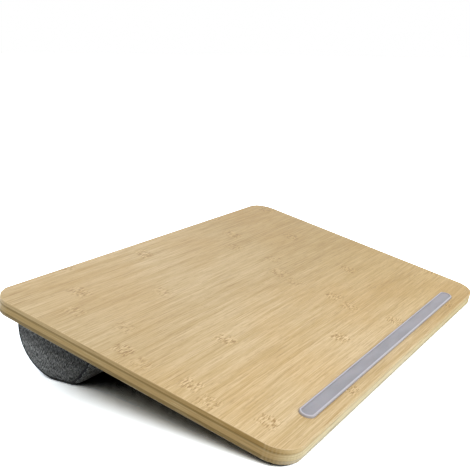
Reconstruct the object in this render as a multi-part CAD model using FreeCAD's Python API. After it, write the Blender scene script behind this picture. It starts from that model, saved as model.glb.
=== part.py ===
"""Bamboo lap desk: a three-ply board with an anti-slip strip, on a zipped fabric bolster.

Three frames are used, all in millimetres with X from left to right:
  roll frame   origin on the bolster's axis, Y to the back, Z along the board's normal
  board frame  origin at the middle of the board's lower front edge, Y to the back, Z along its normal
  part frame   origin on the floor under the middle of the whole, Z straight up
"""
import FreeCAD, Part
import math
import os

V = FreeCAD.Vector
X_AXIS = V(1, 0, 0)

# Board: three bamboo plies glued face to face
BOARD_WIDTH = 420.0
BOARD_DEPTH = 269.0
TOP_PLY = 4.0
CORE_PLY = 5.0
BOTTOM_PLY = 3.0
CORNER_RADIUS = 20.0
TOP_EDGE_ROUND = 0.8
BOTTOM_EDGE_ROUND = 0.8

# Anti-slip strip, bedded in a shallow seat near the front edge
STRIP_SIDE_MARGIN = 48.5
STRIP_FRONT_MARGIN = 10.2
STRIP_WIDTH = 12.0
STRIP_STAND = 1.8
STRIP_EDGE_ROUND = 0.8
STRIP_RIM = 1.4
STRIP_DISH = 0.5
SEAT_DEPTH = 0.8
SEAT_CLEARANCE = 0.2
ADHESIVE = 0.3

# Hook and loop tapes that hold the bolster to the board
TAPE_WIDTH = 20.0
TAPE_END_MARGIN = 15.0
TAPE_SIDE_MARGIN = 4.0
HOOK_THICKNESS = 1.2
LOOP_THICKNESS = 1.2

# Bolster: a round roll with a flat top, its back level with the board's back edge
ROLL_RADIUS = 40.0
ROLL_SIDE_MARGIN = 35.0
ROLL_BACK_MARGIN = 0.0
AXIS_DROP = 16.8
TOP_CORNER = 4.0
SMALLEST_CORNER = 0.5
FLOOR_FLAT = 0.6
FABRIC = 1.2
PIPING_RADIUS = 0.9
PIPING_CLEARANCE = 0.1
END_SETBACK = 0.5
FOAM_CLEARANCE = 0.3

# Zip along the bolster's back
ZIP_END_MARGIN = 15.0
ZIP_WINDOW = 12.0
ZIP_TAPE_WIDTH = 7.2
ZIP_TAPE_THICKNESS = 0.6
ZIP_TAPE_CLEARANCE = 0.1
ZIP_TAPE_END = 6.0
CHAIN_THICKNESS = 2.2
CHAIN_SLOT = 1.2
TOOTH_REACH = 1.1
TOOTH_CORD = 1.0
TOOTH_PITCH = 2.5
TOOTH_WIDTH = 1.3
STOP_LENGTH = 2.5
STOP_GAP = 0.3

# Zip slider and its pull
RUN_CLEARANCE = 0.3
SLIDER_LENGTH = 10.0
SLIDER_PLATE = 1.2
SLIDER_FLANGE = 1.0
SLIDER_CORNER = 2.0
WEB_LENGTH = 3.0
CROWN_LENGTH = 6.4
CROWN_WIDTH = 1.8
CROWN_BAR = 1.0
CROWN_LEG = 1.2
PULL_PIN_RADIUS = 0.6
PULL_THICKNESS = 1.2
PULL_ARM = 0.9
PULL_ARM_LENGTH = 5.0
PULL_WIDTH = 6.4
PULL_LENGTH = 24.0
PULL_CORNER = 2.4
PULL_HOLE_RADIUS = 1.4
PULL_HOLE_MARGIN = 4.0

BIG = 1000.0

# Values that follow from the sizes above
board_thickness = TOP_PLY + CORE_PLY + BOTTOM_PLY
strip_height = STRIP_STAND + SEAT_DEPTH - ADHESIVE
strip_base = board_thickness - SEAT_DEPTH + ADHESIVE
strip_y = STRIP_FRONT_MARGIN + STRIP_WIDTH / 2

roll_length = BOARD_WIDTH - 2 * ROLL_SIDE_MARGIN
axis_y = BOARD_DEPTH - ROLL_BACK_MARGIN - ROLL_RADIUS
roll_top = AXIS_DROP - HOOK_THICKNESS - LOOP_THICKNESS
panel_half = roll_length / 2 - 2 * PIPING_RADIUS - PIPING_CLEARANCE
tape_length = roll_length - 2 * TAPE_END_MARGIN

window_half = roll_length / 2 - ZIP_END_MARGIN
tape_reach = CHAIN_SLOT / 2 + TOOTH_REACH + TOOTH_CORD + ZIP_TAPE_WIDTH
tape_outer = math.sqrt((ROLL_RADIUS - FABRIC) ** 2 - tape_reach ** 2) - ZIP_TAPE_CLEARANCE
tape_inner = tape_outer - ZIP_TAPE_THICKNESS
chain_reach = CHAIN_SLOT / 2 + TOOTH_REACH + TOOTH_CORD
chain_middle = (tape_outer + tape_inner) / 2
chain_outer = chain_middle + CHAIN_THICKNESS / 2
chain_inner = chain_middle - CHAIN_THICKNESS / 2
chain_half = window_half - STOP_LENGTH - STOP_GAP

slider_half_width = chain_reach + RUN_CLEARANCE + SLIDER_FLANGE
slider_outer = chain_outer + RUN_CLEARANCE + SLIDER_PLATE
slider_inner = chain_inner - RUN_CLEARANCE - SLIDER_PLATE
slider_rest_x = chain_half - SLIDER_LENGTH / 2
pin_y = max(slider_outer, ROLL_RADIUS) + RUN_CLEARANCE + PULL_THICKNESS / 2
foam_slot_floor = slider_inner - RUN_CLEARANCE


def tilt_angle():
    """Angle at which the board leans when its lower front edge and the bolster both touch the floor."""
    reach = axis_y - BOTTOM_EDGE_ROUND
    drop = AXIS_DROP + BOTTOM_EDGE_ROUND
    rise = ROLL_RADIUS - FLOOR_FLAT - BOTTOM_EDGE_ROUND
    return math.asin(rise / math.hypot(reach, drop)) + math.atan2(drop, reach)


TILT = tilt_angle()


def arc(start, middle, end):
    """An edge through three points."""
    return Part.Arc(start, middle, end).toShape()


def line(start, end):
    """A straight edge."""
    return Part.LineSegment(start, end).toShape()


def box(x0, x1, y0, y1, z0, z1):
    """A block between two corners."""
    return Part.makeBox(x1 - x0, y1 - y0, z1 - z0, V(x0, y0, z0))


def rounded_block(x0, x1, y0, y1, z0, z1, radius, along):
    """A block whose edges along one direction are rounded."""
    block = box(x0, x1, y0, y1, z0, z1)
    edges = [edge for edge in block.Edges if abs(edge.tangentAt(0).dot(along)) > 0.99]
    return block.makeFillet(radius, edges)


def edges_at_height(shape, height):
    """The edges that lie in one level plane."""
    return [
        edge
        for edge in shape.Edges
        if abs(edge.BoundBox.ZMin - height) < 1e-6 and abs(edge.BoundBox.ZMax - height) < 1e-6
    ]


# ---------------------------------------------------------------- board frame


def ply(base, thickness):
    """One bamboo ply with rounded plan corners."""
    half = BOARD_WIDTH / 2
    return rounded_block(-half, half, 0, BOARD_DEPTH, base, base + thickness, CORNER_RADIUS, V(0, 0, 1))


def stadium(grow, base, height):
    """The strip's plan outline, grown all round, as an upright solid."""
    radius = STRIP_WIDTH / 2 + grow
    half = BOARD_WIDTH / 2 - STRIP_SIDE_MARGIN - STRIP_WIDTH / 2
    corners = [V(side * half, strip_y + up * radius, base) for side, up in ((-1, -1), (1, -1), (1, 1), (-1, 1))]
    right_end = V(half + radius, strip_y, base)
    left_end = V(-half - radius, strip_y, base)
    edges = [
        line(corners[0], corners[1]),
        arc(corners[1], right_end, corners[2]),
        line(corners[2], corners[3]),
        arc(corners[3], left_end, corners[0]),
    ]
    return Part.Face(Part.Wire(edges)).extrude(V(0, 0, height))


def board_bottom_ply():
    """Lower ply, its bottom edge eased all round."""
    slab = ply(0, BOTTOM_PLY)
    return slab.makeFillet(BOTTOM_EDGE_ROUND, edges_at_height(slab, 0))


def board_core_ply():
    """Middle ply."""
    return ply(BOTTOM_PLY, CORE_PLY)


def board_top_ply():
    """Upper ply, its top edge rounded over and a shallow seat cut for the strip."""
    slab = ply(BOTTOM_PLY + CORE_PLY, TOP_PLY)
    rounded = slab.makeFillet(TOP_EDGE_ROUND, edges_at_height(slab, board_thickness))
    return rounded.cut(stadium(SEAT_CLEARANCE, board_thickness - SEAT_DEPTH, BIG))


def strip_adhesive():
    """Double-sided film under the strip."""
    return stadium(0, board_thickness - SEAT_DEPTH, ADHESIVE)


def anti_slip_strip():
    """Moulded elastomer strip with a rounded rim round a shallow dish."""
    top = strip_base + strip_height
    body = stadium(0, strip_base, strip_height)
    body = body.makeFillet(STRIP_EDGE_ROUND, edges_at_height(body, top))
    return body.cut(stadium(-STRIP_RIM, top - STRIP_DISH, BIG))


def fastener_y(side):
    """Centre line of a hook and loop pair, set in from the end of the bolster's flat top."""
    return axis_y + side * (top_flat_half(0) - TAPE_SIDE_MARGIN - TAPE_WIDTH / 2)


def hook_tape(side):
    """Stiff hook tape stuck to the underside of the board."""
    y = fastener_y(side)
    half = tape_length / 2
    return box(-half, half, y - TAPE_WIDTH / 2, y + TAPE_WIDTH / 2, -HOOK_THICKNESS, 0)


def loop_tape(side):
    """Soft loop tape sewn to the top of the cover."""
    return hook_tape(side).translated(V(0, 0, -LOOP_THICKNESS))


# ----------------------------------------------------------------- roll frame


def corner_radius(inset):
    """Radius where the flat top turns down, at a depth inside the cover."""
    return max(TOP_CORNER - inset, SMALLEST_CORNER)


def top_flat_half(inset):
    """Half the width of the flat top, at a depth inside the cover."""
    corner = corner_radius(inset)
    return math.sqrt((ROLL_RADIUS - inset - corner) ** 2 - (roll_top - inset - corner) ** 2)


def turn_angle(inset):
    """Angle above the level at which the round side ends and the top corner begins."""
    corner = corner_radius(inset)
    return math.atan2(roll_top - inset - corner, top_flat_half(inset))


def roll_edges(x, inset, floor_flat):
    """Edges of the roll's cross-section at a depth inside the cover: a circle with a flat top and a floor flat."""
    radius = ROLL_RADIUS - inset
    corner = corner_radius(inset)
    flat = top_flat_half(inset)
    top = roll_top - inset
    turn = turn_angle(inset)
    down = -math.pi / 2 - TILT
    spread = math.acos((radius - floor_flat) / radius)

    def on_circle(angle):
        return V(x, radius * math.cos(angle), radius * math.sin(angle))

    def on_corner(side, angle):
        return V(x, side * (flat + corner * math.cos(angle)), top - corner + corner * math.sin(angle))

    def side_arc(start, end):
        return arc(on_circle(start), on_circle((start + end) / 2), on_circle(end))

    middle_turn = (turn + math.pi / 2) / 2
    front_turn = -math.pi - turn
    edges = [
        line(V(x, -flat, top), V(x, flat, top)),
        arc(V(x, flat, top), on_corner(1, middle_turn), on_circle(turn)),
        side_arc(turn, down + spread),
        side_arc(down - spread, front_turn),
        arc(on_circle(front_turn), on_corner(-1, middle_turn), V(x, -flat, top)),
    ]
    if floor_flat > 0:
        edges.insert(3, line(on_circle(down + spread), on_circle(down - spread)))
    return edges


def roll_outline(x, inset):
    """Closed cross-section of a layer of the roll, with its floor flat."""
    return Part.Wire(roll_edges(x, inset, FLOOR_FLAT))


def roll_solid(half, inset):
    """A length of the roll, centred, at a depth inside the cover."""
    return Part.Face(roll_outline(-half, inset)).extrude(V(2 * half, 0, 0))


def cover_tube():
    """The cover's curved side and flat top in one, with no ends."""
    return roll_solid(panel_half, 0).cut(roll_solid(panel_half, FABRIC))


def top_panel_region():
    """Everything above the front seam and above the zip."""
    front_seam = ROLL_RADIUS * math.sin(turn_angle(0))
    front = box(-BIG, BIG, -BIG, 0, front_seam, BIG)
    return front.fuse(box(-BIG, BIG, 0, BIG, ZIP_WINDOW / 2, BIG))


def cover_top_panel():
    """Fabric panel that lies against the board and folds down at the back to the zip."""
    return cover_tube().common(top_panel_region())


def cover_body_panel():
    """Fabric panel round the roll, with a window for the zip."""
    window = box(-window_half, window_half, 0, BIG, -ZIP_WINDOW / 2, ZIP_WINDOW / 2)
    return cover_tube().cut(top_panel_region()).cut(window)


def cover_end(side):
    """Fabric panel that closes one end of the roll."""
    outer = roll_length / 2 - END_SETBACK
    inset = FLOOR_FLAT + 2 * PIPING_RADIUS + PIPING_CLEARANCE
    disc = Part.Face(Part.Wire(roll_edges(0, inset, 0))).extrude(V(FABRIC, 0, 0))
    return disc.translated(V(outer - FABRIC if side > 0 else -outer, 0, 0))


def cord_along(edge):
    """A round cord along one straight or circular edge of a flat path."""
    start = edge.valueAt(edge.FirstParameter)
    heading = edge.tangentAt(edge.FirstParameter)
    if isinstance(edge.Curve, Part.Line):
        return Part.makeCylinder(PIPING_RADIUS, edge.Length, start, heading)
    section = Part.Face(Part.Wire(Part.makeCircle(PIPING_RADIUS, start, heading)))
    turn = math.degrees(edge.Length / edge.Curve.Radius)
    return section.revolve(edge.Curve.Center, edge.Curve.Axis, turn)


def piping(side):
    """Covered cord sewn into the seam round one end panel, level with the floor flat all the way round."""
    x = side * (roll_length / 2 - PIPING_RADIUS)
    runs = [cord_along(edge) for edge in roll_edges(x, FLOOR_FLAT + PIPING_RADIUS, 0)]
    return runs[0].fuse(runs[1:]).removeSplitter()


def cushion_foam():
    """Foam core, with a slot behind the zip that the slider runs in."""
    foam = roll_solid(panel_half - FOAM_CLEARANCE, FABRIC + FOAM_CLEARANCE)
    reach = tape_reach + FOAM_CLEARANCE
    return foam.cut(box(-BIG, BIG, foam_slot_floor, BIG, -reach, reach))


def zip_tape(side):
    """Woven tape along one side of the zip, its outer margin sewn under the fabric."""
    half = window_half + ZIP_TAPE_END
    low, high = sorted((side * chain_reach, side * tape_reach))
    return box(-half, half, tape_inner, tape_outer, low, high)


def zip_teeth(side):
    """One row of moulded teeth standing on its cord; the rows are half a pitch apart."""
    cord = side * chain_reach
    root = side * (chain_reach - TOOTH_CORD)
    tip = side * CHAIN_SLOT / 2
    count = int((2 * chain_half - TOOTH_PITCH) // TOOTH_PITCH)
    first = -count * TOOTH_PITCH / 2 + side * TOOTH_PITCH / 4 - TOOTH_WIDTH / 2
    outline = [(-chain_half, cord), (-chain_half, root)]
    for index in range(count + 1):
        x = first + index * TOOTH_PITCH
        outline += [(x, root), (x, tip), (x + TOOTH_WIDTH, tip), (x + TOOTH_WIDTH, root)]
    outline += [(chain_half, root), (chain_half, cord)]
    points = [V(x, chain_inner, z) for x, z in outline + outline[:1]]
    return Part.Face(Part.makePolygon(points)).extrude(V(0, CHAIN_THICKNESS, 0))


def zip_stop(side):
    """Crimped bar that ends the chain."""
    near = chain_half + STOP_GAP
    low, high = sorted((side * near, side * (near + STOP_LENGTH)))
    bar = box(low, high, chain_inner, chain_outer, -chain_reach, chain_reach)
    sides = box(-BIG, BIG, tape_inner, tape_outer, chain_reach, BIG)
    return bar.cut(sides)


def slider_plate(inner, outer, flange_edge):
    """One plate of the slider with a flange along each side that keeps it on the chain."""
    half = SLIDER_LENGTH / 2
    low, high = sorted((inner, outer))
    width = slider_half_width
    plate = rounded_block(-half, half, low, high, -width, width, SLIDER_CORNER, V(0, 1, 0))
    low, high = sorted((inner, flange_edge))
    straight = half - SLIDER_CORNER
    for side in (-1, 1):
        near, far = sorted((side * (width - SLIDER_FLANGE), side * width))
        plate = plate.fuse(box(-straight, straight, low, high, near, far))
    return plate


def slider_crown():
    """Arch on the slider that holds the pull's pin."""
    top = pin_y + PULL_PIN_RADIUS + RUN_CLEARANCE + CROWN_BAR
    half = CROWN_LENGTH / 2
    width = CROWN_WIDTH / 2
    arch = rounded_block(-half, half, slider_outer - BIG, top, -width, width, CROWN_BAR, V(0, 0, 1))
    arch = arch.common(box(-BIG, BIG, slider_outer, BIG, -BIG, BIG))
    opening = box(CROWN_LEG - half, half - CROWN_LEG, slider_outer, top - CROWN_BAR, -BIG, BIG)
    return arch.cut(opening)


def zip_slider():
    """Slider: two plates joined by a thin web that runs between the rows of teeth."""
    outer_plate = slider_plate(chain_outer + RUN_CLEARANCE, slider_outer, tape_outer + RUN_CLEARANCE)
    inner_plate = slider_plate(chain_inner - RUN_CLEARANCE, slider_inner, tape_inner - RUN_CLEARANCE)
    web_half = CHAIN_SLOT / 2 - RUN_CLEARANCE
    web_end = SLIDER_LENGTH / 2 - SLIDER_CORNER
    web = box(
        web_end - WEB_LENGTH, web_end,
        chain_inner - RUN_CLEARANCE, chain_outer + RUN_CLEARANCE,
        -web_half, web_half,
    )
    slider = outer_plate.fuse([inner_plate, web, slider_crown()]).removeSplitter()
    return slider.translated(V(slider_rest_x, 0, 0))


def zip_pull():
    """Pull: a flat tab on two arms that hold a round pin under the slider's crown."""
    inner = pin_y - PULL_THICKNESS / 2
    outer = pin_y + PULL_THICKNESS / 2
    arm_inner = CROWN_WIDTH / 2 + RUN_CLEARANCE
    arm_outer = arm_inner + PULL_ARM
    half = PULL_WIDTH / 2
    tab = rounded_block(-PULL_LENGTH, -PULL_ARM_LENGTH, inner, outer, -half, half, PULL_CORNER, V(0, 1, 0))
    hole_x = PULL_HOLE_MARGIN - PULL_LENGTH
    hole = Part.makeCylinder(PULL_HOLE_RADIUS, BIG, V(hole_x, 0, 0), V(0, 1, 0))
    pin = Part.makeCylinder(PULL_PIN_RADIUS, 2 * arm_outer, V(0, pin_y, -arm_outer), V(0, 0, 1))
    pieces = [pin]
    for side in (-1, 1):
        near, far = sorted((side * arm_inner, side * arm_outer))
        pieces.append(box(-PULL_ARM_LENGTH - PULL_CORNER, 0, inner, outer, near, far))
        pieces.append(Part.makeCylinder(PULL_THICKNESS / 2, PULL_ARM, V(0, pin_y, near), V(0, 0, 1)))
    pull = tab.cut(hole).fuse(pieces).removeSplitter()
    return pull.translated(V(slider_rest_x, 0, 0))


# ----------------------------------------------------------------- assembly

BOARD_NODES = {
    "board_top_ply": board_top_ply(),
    "board_core_ply": board_core_ply(),
    "board_bottom_ply": board_bottom_ply(),
    "anti_slip_strip": anti_slip_strip(),
    "strip_adhesive": strip_adhesive(),
    "hook_tape_front": hook_tape(-1),
    "hook_tape_back": hook_tape(1),
    "loop_tape_front": loop_tape(-1),
    "loop_tape_back": loop_tape(1),
}

ROLL_NODES = {
    "cushion_foam": cushion_foam(),
    "cover_body_panel": cover_body_panel(),
    "cover_top_panel": cover_top_panel(),
    "cover_end_left": cover_end(-1),
    "cover_end_right": cover_end(1),
    "piping_left": piping(-1),
    "piping_right": piping(1),
    "zip_tape_upper": zip_tape(1),
    "zip_tape_lower": zip_tape(-1),
    "zip_teeth_upper": zip_teeth(1),
    "zip_teeth_lower": zip_teeth(-1),
    "zip_stop_left": zip_stop(-1),
    "zip_stop_right": zip_stop(1),
    "zip_slider": zip_slider(),
    "zip_pull": zip_pull(),
}


def tilted(point):
    """A board-frame point turned to its resting lean, before the origin is moved."""
    return FreeCAD.Rotation(X_AXIS, math.degrees(TILT)).multVec(point)


def resting_nodes():
    """Every node in the part frame."""
    to_board = FreeCAD.Placement(V(0, axis_y, -AXIS_DROP), FreeCAD.Rotation())
    lean = FreeCAD.Placement(V(0, 0, 0), FreeCAD.Rotation(X_AXIS, math.degrees(TILT)))
    nodes = {name: shape.transformed(lean.toMatrix()) for name, shape in BOARD_NODES.items()}
    for name, shape in ROLL_NODES.items():
        nodes[name] = shape.transformed(lean.multiply(to_board).toMatrix())
    return nodes


def write_parts():
    """Move the origin to the floor under the middle of the whole, then write one STEP per node."""
    os.makedirs("parts", exist_ok=True)
    nodes = resting_nodes()
    whole = Part.makeCompound(list(nodes.values())).optimalBoundingBox()
    origin = V(whole.Center.x, whole.Center.y, whole.ZMin)
    for name, shape in nodes.items():
        moved = shape.translated(origin.negative())
        moved.exportStep("parts/" + name + ".step")
    print("tilt", round(math.degrees(TILT), 4))
    for name, point in {
        "laptop_rest": V(0, BOARD_DEPTH / 2, board_thickness),
        "roll_axis": V(0, axis_y, -AXIS_DROP),
        "pull_pin": V(slider_rest_x, axis_y + pin_y, -AXIS_DROP),
    }.items():
        placed = tilted(point) - origin
        print(name, [round(value, 4) for value in placed])
    print("slide travel", round(2 * chain_half - SLIDER_LENGTH, 3))
    print("size", round(whole.XLength, 2), round(whole.YLength, 2), round(whole.ZLength, 2))


write_parts()
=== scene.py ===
import math

import bmesh
import bpy
import numpy as np
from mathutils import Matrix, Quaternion, Vector, noise


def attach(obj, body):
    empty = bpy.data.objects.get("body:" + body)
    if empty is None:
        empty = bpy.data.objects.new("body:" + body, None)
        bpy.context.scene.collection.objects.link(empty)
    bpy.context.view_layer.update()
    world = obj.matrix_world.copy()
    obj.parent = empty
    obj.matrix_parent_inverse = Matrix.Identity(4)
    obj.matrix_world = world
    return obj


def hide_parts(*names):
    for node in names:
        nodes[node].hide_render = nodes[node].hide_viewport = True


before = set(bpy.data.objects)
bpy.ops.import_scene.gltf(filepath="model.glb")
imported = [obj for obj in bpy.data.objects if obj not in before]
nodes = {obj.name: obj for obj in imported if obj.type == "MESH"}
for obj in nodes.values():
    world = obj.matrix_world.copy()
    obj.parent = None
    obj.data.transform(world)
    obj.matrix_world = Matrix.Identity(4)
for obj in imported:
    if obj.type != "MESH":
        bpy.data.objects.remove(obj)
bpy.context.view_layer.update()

# Lengths are millimetres in three frames: part (the frame's own), board (origin at the middle of the board's
# lower front edge, Y to the back, Z along its normal) and roll (origin on the bolster's axis, turned as the
# board's).
MM = 0.001
TILT = math.radians(14.1195)
# The board frame's origin in the part frame, and the roll's axis in both
BOARD_PLACE = (0.0, -132.5751, -0.1710)
AXIS_PLACE = (0.0, 93.6049, 39.4)
AXIS_Y = 229.0
AXIS_DROP = 16.8
BOARD_HALF = 210.0
BOARD_DEPTH = 269.0
BOARD_CORNER = 20.0
# The height, half width and depth of tone of each glue line
GLUE_LINES = ((3.0, 0.28, 0.35), (7.95, 0.5, 0.85))

# The flat top's height over the axis, its corners' radius, and how far the foot is cut flat
ROLL_RADIUS = 40.0
ROLL_TOP = 14.4
TOP_CORNER = 4.0
FLOOR_FLAT = 0.6
CLOTH_THICK = 0.99
# Half the length and height of the window that the zip lies in
WINDOW_X = 160.0
WINDOW_Z = 6.0
# The piping's radius, its place along the roll and how far in from the outline its middle lies
PIPING_RADIUS = 0.9
PIPING_X = 174.1
PIPING_INSET = 1.5

BASE = "lap_desk"


def board_to_part(points):
    """Board-frame millimetres to part-frame metres."""
    p = np.asarray(points, float).reshape(-1, 3)
    c, s = math.cos(TILT), math.sin(TILT)
    turned = np.stack([p[:, 0], p[:, 1] * c - p[:, 2] * s, p[:, 1] * s + p[:, 2] * c], 1)
    return (turned + np.array(BOARD_PLACE)) * MM


def roll_to_part(points):
    """Roll-frame millimetres to part-frame metres."""
    return board_to_part(np.asarray(points, float).reshape(-1, 3) + np.array([0, AXIS_Y, -AXIS_DROP]))


# ---------------- camera, floor, light


def make_camera():
    """The view that the part is shown in: its place, heading and lens."""
    place = Vector((-0.64290, -0.35642, 0.26737))
    heading, pitch, roll = math.radians(59.4376), math.radians(-9.8360), math.radians(0.0620)
    data = bpy.data.cameras.new("camera")
    data.sensor_width = 36.0
    data.lens = 64.168
    data.shift_x = -0.01795
    data.shift_y = -0.10459
    data.clip_start = 0.01
    data.clip_end = 50.0
    level = math.cos(pitch)
    forward = Vector((math.sin(heading) * level, math.cos(heading) * level, math.sin(pitch)))
    camera = bpy.data.objects.new("camera", data)
    camera.location = place
    camera.rotation_mode = "QUATERNION"
    camera.rotation_quaternion = Quaternion(forward, -roll) @ forward.to_track_quat("-Z", "Y")
    bpy.context.collection.objects.link(camera)
    bpy.context.scene.camera = camera


class Value:
    """What a node gives. Arithmetic with it adds Math nodes."""

    def __init__(self, look, socket):
        self.look = look
        self.socket = socket

    def __add__(self, other):
        return self.look.math("ADD", self, other)

    def __sub__(self, other):
        return self.look.math("SUBTRACT", self, other)

    def __rsub__(self, other):
        return self.look.math("SUBTRACT", other, self)

    def __mul__(self, other):
        return self.look.math("MULTIPLY", self, other)

    def __truediv__(self, other):
        return self.look.math("DIVIDE", self, other)

    def __abs__(self):
        return self.look.math("ABSOLUTE", self)


class Look:
    """The nodes of a material or world, with short ways to add to them."""

    def __init__(self, owner, output="OutputMaterial"):
        owner.use_nodes = True
        self.owner = owner
        self.tree = owner.node_tree
        self.tree.nodes.clear()
        self.out = self.node(output)

    def put(self, socket, value):
        """Links a value or sets a number."""
        if isinstance(value, Value):
            self.tree.links.new(value.socket, socket)
        elif value is not None:
            socket.default_value = value

    def node(self, kind, inputs=(), **settings):
        """Adds a node, with its settings and then its inputs by name or number."""
        made = self.tree.nodes.new("ShaderNode" + kind)
        for key, value in settings.items():
            setattr(made, key, value)
        for key, value in dict(inputs).items():
            self.put(made.inputs[key], value)
        return made

    def value(self, kind, inputs=(), output=0, **settings):
        """Adds a node and returns one of its outputs."""
        return Value(self, self.node(kind, inputs, **settings).outputs[output])

    def math(self, operation, a, b=None, c=None, clamp=False):
        return self.value("Math", {0: a, 1: b, 2: c}, operation=operation, use_clamp=clamp)

    def vector(self, operation, a, b):
        return self.value("VectorMath", {0: a, 1: b}, operation=operation)

    def length(self, vector):
        return self.value("VectorMath", {0: vector}, "Value", operation="LENGTH")

    def join(self, x, y, z=0.0):
        return self.value("CombineXYZ", {0: x, 1: y, 2: z})

    def split(self, vector):
        return [Value(self, socket) for socket in self.node("SeparateXYZ", {0: vector}).outputs[:3]]

    def step(self, value, low, high, start=0.0, end=1.0):
        """Rises smoothly from start to end as value goes from low to high."""
        inputs = {"Value": value, "From Min": low, "From Max": high, "To Min": start, "To Max": end}
        return self.value("MapRange", inputs, interpolation_type="SMOOTHSTEP")

    def bump_of(self, value, centre, half, soft):
        """1 where value is within half of centre, 0 outside, with soft sides."""
        away = self.math("ABSOLUTE", self.math("SUBTRACT", value, centre))
        return self.step(away, half, half + soft, 1.0, 0.0)

    def noise(self, vector, scale=1.0, detail=2.0, rough=0.5):
        inputs = {"Vector": vector, "Scale": scale, "Detail": detail, "Roughness": rough}
        return self.value("TexNoise", inputs, "Fac")

    def stretched(self, vector, x, y, z):
        return self.vector("MULTIPLY", vector, (x, y, z))

    def random(self, value):
        """Three steady random numbers from 0 to 1 for each whole number."""
        return self.split(self.value("TexWhiteNoise", {"W": value}, "Color", noise_dimensions="1D"))

    def mix(self, share, a, b, blend="MIX"):
        """Mixes two colours. The Mix node's sockets go by number, because their names repeat."""
        inputs = {"Factor": share, 6: a, 7: b}
        return self.value("Mix", inputs, 2, data_type="RGBA", blend_type=blend)

    def layered(self, colour, *layers):
        """Lays more colours over one, each (value, low, high, share, colour): share is reached at high."""
        for value, low, high, share, over in layers:
            colour = self.mix(self.step(value, low, high, 0.0, share), colour, over)
        return colour

    def between(self, share, a, b):
        """Mixes two numbers."""
        return self.value("Mix", {"Factor": share, 2: a, 3: b}, data_type="FLOAT")

    def place_mm(self, origin):
        """The point in a frame turned with the board, in millimetres from an origin in the part frame."""
        here = self.value("TexCoord", output="Object")
        moved = self.vector("SUBTRACT", here, tuple(v * MM for v in origin))
        turned = self.value("VectorRotate", {"Vector": moved, "Angle": -TILT}, rotation_type="X_AXIS")
        return self.value("VectorMath", {0: turned, "Scale": 1 / MM}, operation="SCALE")

    def show(self, shader):
        """Links a shader node to the output."""
        self.tree.links.new(shader.outputs[0], self.out.inputs["Surface"])

    def show_either(self, share, first, second):
        """Shows the first shader node where share is 0 and the second where it is 1."""
        both = self.node("MixShader", {0: share})
        self.tree.links.new(first.outputs[0], both.inputs[1])
        self.tree.links.new(second.outputs[0], both.inputs[2])
        self.show(both)

    def finish(self, colour, roughness, height=None, depth=0.0, **rest):
        """The Principled surface: painted colour, roughness and bump, and numbers or values for the rest."""
        surface = self.node("BsdfPrincipled", {"Base Color": colour, "Roughness": roughness})
        for key, value in rest.items():
            self.put(surface.inputs[key.replace("_", " ")], value)
        if height is not None:
            inputs = {"Height": height, "Distance": depth * MM, "Strength": 1.0}
            self.put(surface.inputs["Normal"], self.value("Bump", inputs))
        self.show(surface)
        return self.owner


def new_look(name):
    """A new material's nodes."""
    return Look(bpy.data.materials.new(name))


def srgb(red, green, blue):
    """A colour given as 0 to 255 screen values, as linear light."""
    def linear(value):
        value /= 255
        return value / 12.92 if value <= 0.04045 else ((value + 0.055) / 1.055) ** 2.4
    return (linear(red), linear(green), linear(blue), 1.0)


def seen_directly(look):
    """1 for a ray that shows the background itself: from the camera, a reflection or through glass."""
    camera, glossy, glass = (
        look.value("LightPath", output="Is %s Ray" % kind) for kind in ("Camera", "Glossy", "Transmission")
    )
    return look.math("MAXIMUM", look.math("MAXIMUM", camera, glossy), glass)


# The floor gives back about half the light. Seen directly, it goes from near black, where little of the sky
# is open to it, to white. The opening is judged along a leaning normal, so the shadow lies to one side.
FLOOR_BOUNCE = 0.48
OPEN_TOWARDS = (0.37, 0.11, 0.92)
SHADOW_EDGE = (0.072, 0.188)
SHADOW_GAIN = (0.0, 2.36)
FLOOR_TONE = (0.94, 1.0, 1.05)
# In metres: half the floor's width, and how far it lies under the part
FLOOR_REACH = 12.0
FLOOR_DROP = 0.0002
WHITE = (1.0, 1.0, 1.0, 1.0)
WORLD_LIGHT = 0.27
# Each lamp's name, the direction it stands in, its strength and its width in degrees
LAMPS = (
    ("front_softbox", (-0.08, -1.0, 0.58), 2.30, 50),
    ("back_left_softbox", (-0.53, 0.85, 1.19), 1.15, 38),
    ("back_right_softbox", (0.64, 0.77, 0.84), 0.5, 60),
)


def floor_look():
    """White with a deep contact shadow where it is seen, grey to the light, and open from below."""
    look = new_look("studio_floor")
    sky = {"Distance": 1.0, "Normal": look.join(*OPEN_TOWARDS)}
    open_sky = look.value("AmbientOcclusion", sky, "AO", samples=48)
    shown = look.step(open_sky, *SHADOW_EDGE, *SHADOW_GAIN)
    gain = look.between(seen_directly(look), FLOOR_BOUNCE, shown)
    solid = look.node("BsdfDiffuse", {"Color": look.join(*(gain * tone for tone in FLOOR_TONE))})
    under = look.value("NewGeometry", output="Backfacing")
    look.show_either(under, solid, look.node("BsdfTransparent"))
    return look.owner


def make_floor():
    """A wide flat sheet just under the part."""
    mesh = bpy.data.meshes.new("studio_floor")
    far = FLOOR_REACH
    mesh.from_pydata([(-far, -far, 0), (far, -far, 0), (far, far, 0), (-far, far, 0)], [], [(0, 1, 2, 3)])
    floor = bpy.data.objects.new("studio_floor", mesh)
    floor.location.z = -FLOOR_DROP
    mesh.materials.append(floor_look())
    bpy.context.collection.objects.link(floor)


def make_world():
    """Even soft light all round, white where it is seen directly."""
    world = bpy.data.worlds.new("studio")
    bpy.context.scene.world = world
    look = Look(world, "OutputWorld")
    light = look.node("Background", {"Color": WHITE, "Strength": WORLD_LIGHT})
    white = look.node("Background", {"Color": WHITE, "Strength": 1.0})
    look.show_either(seen_directly(look), light, white)


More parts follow.
